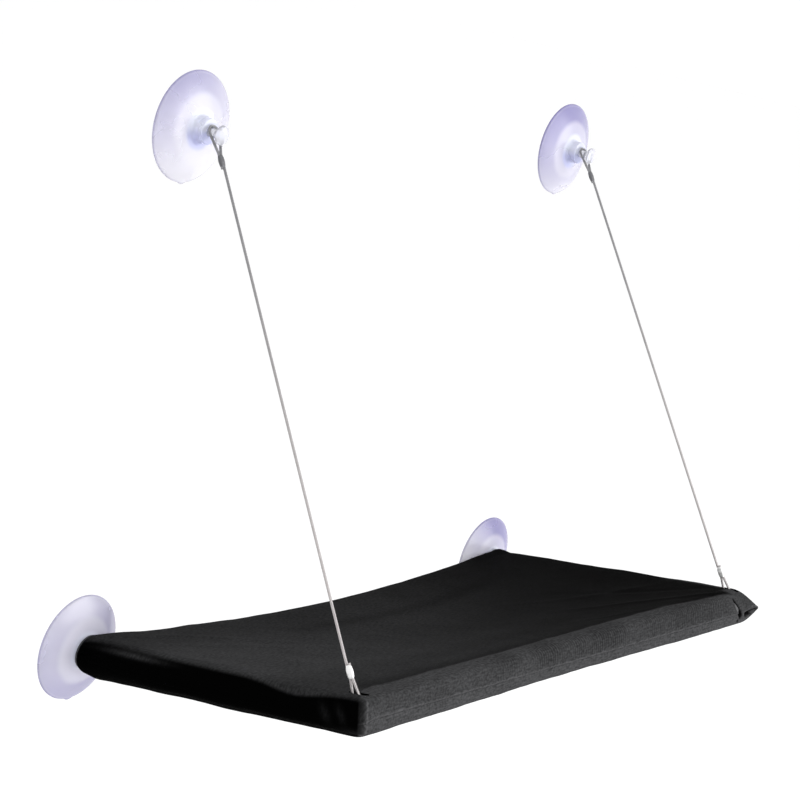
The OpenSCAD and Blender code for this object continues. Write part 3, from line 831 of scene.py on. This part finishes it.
def paint_vinyl(t):
    out, deep, fall = (t.node("ShaderNodeAttribute", {"attribute_name": label}, out="Fac")
                       for label in ("from_axis", "deep", "fall"))
    cloud = t.noise(t.place(), 22.0, 3.0)
    # Painted shade: the tint deepens from six tenths of the radius out, and towards the top by the
    # deep attribute, and a thin darker line runs round the rim.
    rim = t.ramp(out + (cloud - 0.5) * 0.1, 0.56, 0.7, 0.5, 0.9) - t.ramp(out, 0.93, 0.99, 0.0, 0.2)
    depth = rim * t.ramp(deep + (cloud - 0.5) * 0.22, 0.0, 1.0) + t.ramp(out, 0.96, 1.0, 0.0, 0.28)
    neck = t.ramp(out, 0.42, 0.32)
    # Painted shadow under the neck of the upper cups.
    below = t.ramp(fall, 0.05, 0.8)
    return {"Base Color": t.colour(neck, t.colour(depth, (0.90, 0.89, 0.95), (0.26, 0.24, 0.50)),
                                   t.colour(below, (0.86, 0.88, 1.0), (0.62, 0.64, 0.90))),
            "Roughness": t.ramp(cloud, 0.3, 0.7, 0.2, 0.3),
            "Normal": t.bump(cloud, 0.04, 0.001)}


vinyl = material("cup_vinyl", paint_vinyl, Transmission_Weight=0.4, IOR=1.45)
cup_turns = 288
# Per cup: the tint's depth, the painted shade added towards the top, its lean, and the painted
# shadow under the neck. The lilac tint is the vinyl's own; how deep it is from cup to cup is painted
# light and shade.
for place, x, z, tint in (
        ("lower_left", -half_width, 0, (0.56, -0.15, -0.5, 0)),
        ("lower_right", half_width, 0, (0.5, 0.6, 0.8, 0)),
        ("upper_left", -upper_spacing / 2, upper_height, (0.38, 0.34, -0.3, 1)),
        ("upper_right", upper_spacing / 2, upper_height, (0.64, 0.42, -0.2, 1))):
    cup = lathe(place + "_cup_turned", cup_outline(), x, z, cup_turns, tab_bulge)
    tint_cup(cup.data, cup_outline(), cup_turns, x, z, tint)
    finish_mesh(cup.data, vinyl)
    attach(cup, place + "_suction_cup")
    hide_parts(place + "_cup")

# Pegs.
# A clear peg with a wide head is pressed into the neck of each upper cup, and keeps the eye of
# a cable on its shank.
peg_shank, peg_head_r, peg_turns = 9.4, 7.5, 72
peg_foot, head_at = neck_end - peg_grip, neck_end + peg_shank
peg_outline = [(0, peg_foot), (peg_r - 1, peg_foot), (peg_r, peg_foot + 1), (peg_r, head_at - 0.4),
               (peg_r + 0.3, head_at), (peg_r + 2.3, head_at), (peg_head_r - 0.3, head_at + 1.4),
               (peg_head_r, head_at + 1.7), (peg_head_r, head_at + 2.4),
               (peg_head_r - 0.3, head_at + 3.0), (peg_head_r - 1.4, head_at + 3.7),
               (peg_head_r / 2, head_at + 4.05), (0, head_at + 4.1)]


def paint_peg(t):
    cloud = t.noise(t.place(), 120.0)
    return {"Base Color": t.colour(cloud, (0.86, 0.87, 0.95), (0.95, 0.95, 0.99)),
            "Roughness": t.ramp(cloud, 0.3, 0.7, 0.1, 0.18),
            "Normal": t.bump(cloud, 0.04, 0.0004)}


clear_peg = material("peg_clear", paint_peg, Transmission_Weight=0.7, IOR=1.4)
for place, side in (("left", -1), ("right", 1)):
    peg = lathe(f"upper_{place}_peg_turned", peg_outline, side * upper_spacing / 2, upper_height,
                peg_turns)
    finish_mesh(peg.data, clear_peg)
    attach(peg, f"upper_{place}_suction_cup")
    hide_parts(f"upper_{place}_peg")

# Cables.
# Each is one steel wire rope with an eye at either end: the lower eye goes round the loop pin
# and the upper one round the peg. Six strands are laid round a core.
cable_r, leg_gap, leg_run_in = 1.1, 0.2, 0.6
leg_offset = cable_r + leg_gap / 2
lower_eye, upper_eye = 20.0, 17.0
sleeve_length, sleeve_wall, tail_length = 10.0, 0.7, 1.2
pin_r, pin_rise, loose = 2.5, 6.0, 0.3
strand_count, strand_r, ring_r = 6, 0.37, 0.72
lay_length, lay_step = 13.0, 0.9
lower_eye_r = pin_r + loose + cable_r
pin_y = -bed_standoff - bed_depth * math.cos(bed_slope) + pin_rise * math.sin(bed_slope)
pin_z = bed_depth * math.sin(bed_slope) + pin_rise * math.cos(bed_slope)
cable_pitch = math.atan2(-(neck_end + peg_shank / 2) - pin_y, upper_height - pin_z)
upper_eye_r = peg_r / math.cos(cable_pitch) + loose + cable_r
eye_y = neck_end + loose + cable_r + upper_eye_r * math.sin(cable_pitch)


def eye_path(radius, reach):
    """An eye round the origin, from the end of its left leg to the end of its right leg."""
    lean = math.atan2(reach, leg_offset) - math.acos(radius / math.hypot(leg_offset, reach))
    bend = [(radius * math.cos(a), 0, radius * math.sin(a))
            for a in np.linspace(math.pi - lean, math.tau + lean, 40)]
    return [(-leg_offset, 0, reach)] + bend + [(leg_offset, 0, reach)]


class CableFrame:
    """Where one cable runs: local Z goes up along it from the loop pin."""

    def __init__(self, side):
        # The way goes from the middle of the pin to that of the upper eye. The leg is the wire
        # itself, which starts beside the one and ends beside the other.
        way = Vector((side * (upper_spacing / 2 - half_width), -eye_y - pin_y,
                      upper_height - pin_z))
        turn = -math.atan2(way.y, way.z)
        lean = math.asin(way.x / way.length)
        lower = Vector((0, math.cos(turn), math.sin(turn)))
        upper = Vector((math.cos(lean), math.sin(lean) * math.sin(turn),
                        -math.sin(lean) * math.cos(turn)))
        leg = way - leg_offset * lower + leg_offset * upper
        self.length = leg.length
        self.turn = (Matrix.Rotation(-math.atan2(leg.y, leg.z), 4, "X")
                     @ Matrix.Rotation(math.asin(leg.x / leg.length), 4, "Y"))
        self.start = Vector((side * half_width, pin_y, pin_z)) + leg_offset * lower

    def at(self, p):
        return tuple((self.start + self.turn @ Vector(p)) * MM)


def cable_path(run):
    """The wire's middle line, from one cut end round both eyes to the other."""
    reach, reach_up = lower_eye - leg_run_in, upper_eye - leg_run_in
    tail = leg_run_in + sleeve_length + tail_length
    low = [(0, x - leg_offset, z) for x, _, z in eye_path(lower_eye_r, reach)]
    high = [(x - leg_offset, 0, run.length - z) for x, _, z in eye_path(upper_eye_r, reach_up)]
    path = [(0, -2 * leg_offset, reach + tail)] + low + high[::-1]
    path.append((-2 * leg_offset, 0, run.length - reach_up - tail))
    return [run.at(p) for p in path]


def grown(name, source, group, values, finish):
    """A new mesh from what the node group makes of the source, which is deleted."""
    tool = source.modifiers.new(name, "NODES")
    tool.node_group = group
    for item in group.interface.items_tree:
        if item.item_type == "SOCKET" and item.in_out == "INPUT" and item.name in values:
            tool[item.identifier] = values[item.name]
    graph = bpy.context.evaluated_depsgraph_get()
    mesh = bpy.data.meshes.new_from_object(source.evaluated_get(graph), depsgraph=graph)
    mesh.name = name
    source.modifiers.clear()
    bpy.data.meshes.remove(source.data)
    finish_mesh(mesh, finish)
    return add_object(name, mesh)


def new_group(name, inputs):
    group = bpy.data.node_groups.new(name, "GeometryNodeTree")
    group.interface.new_socket("Geometry", in_out="INPUT", socket_type="NodeSocketGeometry")
    for label, kind in inputs:
        group.interface.new_socket(label, in_out="INPUT", socket_type="NodeSocket" + kind)
    group.interface.new_socket("Geometry", in_out="OUTPUT", socket_type="NodeSocketGeometry")
    return group


def rope_group():
    """Strands laid round a core, along the line that it is given."""
    group = new_group("wire_rope", [("Strands", "Int"), ("Strand radius", "Float"),
                                    ("Ring radius", "Float"), ("Lay length", "Float"),
                                    ("Step", "Float"), ("Finish", "Material")])
    t = Tree(group)
    given = t.node("NodeGroupInput")
    line = t.node("GeometryNodeMeshToCurve", {}, {"Mesh": given.other("Geometry")})
    line = t.node("GeometryNodeResampleCurve", {"mode": "LENGTH"},
                  {"Curve": line, "Length": given.other("Step")})
    copies = t.node("GeometryNodeDuplicateElements", {"domain": "SPLINE"},
                    {"Geometry": line, "Amount": given.other("Strands")})
    length = t.node("GeometryNodeSplineParameter", out="Length")
    angle = (length / given.other("Lay length")
             + copies.other("Duplicate Index") / given.other("Strands")) * math.tau
    normal = t.node("GeometryNodeInputNormal")
    beside = t.vector("CROSS_PRODUCT", t.node("GeometryNodeInputTangent"), normal)
    offset = t.vector("ADD",
                      t.scaled(normal, t.math("COSINE", angle) * given.other("Ring radius")),
                      t.scaled(beside, t.math("SINE", angle) * given.other("Ring radius")))
    laid = t.node("GeometryNodeSetPosition", {}, {"Geometry": copies, "Offset": offset})
    circle = t.node("GeometryNodeCurvePrimitiveCircle", {},
                    {"Resolution": 7, "Radius": given.other("Strand radius")})
    strands, core = (t.node("GeometryNodeCurveToMesh", {},
                            {"Curve": curve, "Profile Curve": circle, "Fill Caps": True})
                     for curve in (laid, line))
    joined = t.node("GeometryNodeJoinGeometry", {}, {0: [strands, core]})
    real = t.node("GeometryNodeRealizeInstances", {}, {0: joined})
    done = t.node("GeometryNodeSetMaterial", {},
                  {"Geometry": real, "Material": given.other("Finish")})
    t.node("NodeGroupOutput", {}, {"Geometry": done})
    return group


def paint_wire(t):
    at = t.place()
    up = t.node("ShaderNodeSeparateXYZ", {}, {0: at}, out="Z")
    grime = t.noise(at, 150.0, 3.0)
    dark = t.ramp(up + (grime - 0.5) * 0.05, 0.12, 0.40, 0.0, 1.0)
    return {"Base Color": t.colour(dark, (0.50, 0.475, 0.475), (0.28, 0.28, 0.29)),
            "Roughness": t.ramp(grime, 0.3, 0.7, 0.28, 0.42),
            "Normal": t.bump(grime, 0.2, 0.0001)}


wire_steel = material("wire_steel", paint_wire, Metallic=1.0)
rope = rope_group()
rope_sizes = {"Strands": strand_count, "Strand radius": strand_r * MM, "Ring radius": ring_r * MM,
              "Lay length": lay_length * MM, "Step": lay_step * MM, "Finish": wire_steel}
RUNS = {"left": CableFrame(-1), "right": CableFrame(1)}
for place, run in RUNS.items():
    points = cable_path(run)
    line = mesh_object("path", points, [], [(i, i + 1) for i in range(len(points) - 1)])
    wire = grown(place + "_cable_strands", line, rope, rope_sizes, wire_steel)
    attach(wire, place + "_cable_assembly")
    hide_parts(place + "_cable")

# Sleeves.
# A metal sleeve is crimped over both legs of each eye: bright at the bed, dark at the pegs.
# The tool leaves it oval and slimmer at its ends, with two crimps across each face.
sleeve_waist, waist_loss, waist_power = 0.93, 0.3, 2.4
crimps, crimp_depth, crimp_width, crimp_flat = (0.3, 0.7), 0.08, 0.055, 2.2


def sleeve(name, to, finish, steps=36, around=40):
    """A closed oval tube along Z from the origin, with its points placed by to."""
    points, faces = [], []
    r = cable_r + sleeve_wall
    for i in range(steps + 1):
        s = i / steps
        waist = sleeve_waist - waist_loss * abs(2 * s - 1) ** waist_power
        dent = crimp_depth * sum(math.exp(-((s - at) / crimp_width) ** 2) for at in crimps)
        for j in range(around):
            a = math.tau * j / around
            flat = leg_offset * max(-1, min(1, crimp_flat * math.cos(a)))
            points.append(to(((flat + r * math.cos(a)) * waist,
                              r * math.sin(a) * waist * (1 - dent), sleeve_length * s)))
    for i in range(steps):
        for j in range(around):
            k = (j + 1) % around
            faces.append((i * around + j, i * around + k, (i + 1) * around + k,
                          (i + 1) * around + j))
    faces += [list(range(around))[::-1], [steps * around + j for j in range(around)]]
    made = mesh_object(name, points, faces)
    finish_mesh(made.data, finish)
    return made


def metal_paint(low, high):
    """The finish of a crimped sleeve, cloudy between these two colours."""
    def paint(t):
        cloud = t.noise(t.place(), 300.0, 3.0)
        return {"Base Color": t.colour(cloud, low, high),
                "Roughness": t.ramp(cloud, 0.3, 0.7, 0.5, 0.62),
                "Normal": t.bump(cloud, 0.15, 0.0002)}
    return paint


bright_metal = material("sleeve_bright", metal_paint((0.84, 0.84, 0.84), (0.95, 0.95, 0.94)),
                        Metallic=1.0)
dark_metal = material("sleeve_dark", metal_paint((0.10, 0.10, 0.11), (0.22, 0.22, 0.23)),
                      Metallic=1.0)
for place, run in RUNS.items():
    low = sleeve(place + "_lower_sleeve_crimped",
                 lambda p, g=run: g.at((-p[1], p[0] - leg_offset, p[2] + lower_eye)), bright_metal)
    high = sleeve(place + "_upper_sleeve_crimped",
                  lambda p, g=run: g.at((p[0] - leg_offset, p[1],
                                         p[2] + g.length - upper_eye - sleeve_length)), dark_metal)
    for piece, node in ((low, place + "_lower_sleeve"), (high, place + "_upper_sleeve")):
        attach(piece, place + "_cable_assembly")
        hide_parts(node)
        node.split("_", 1)[1] + "_metal"
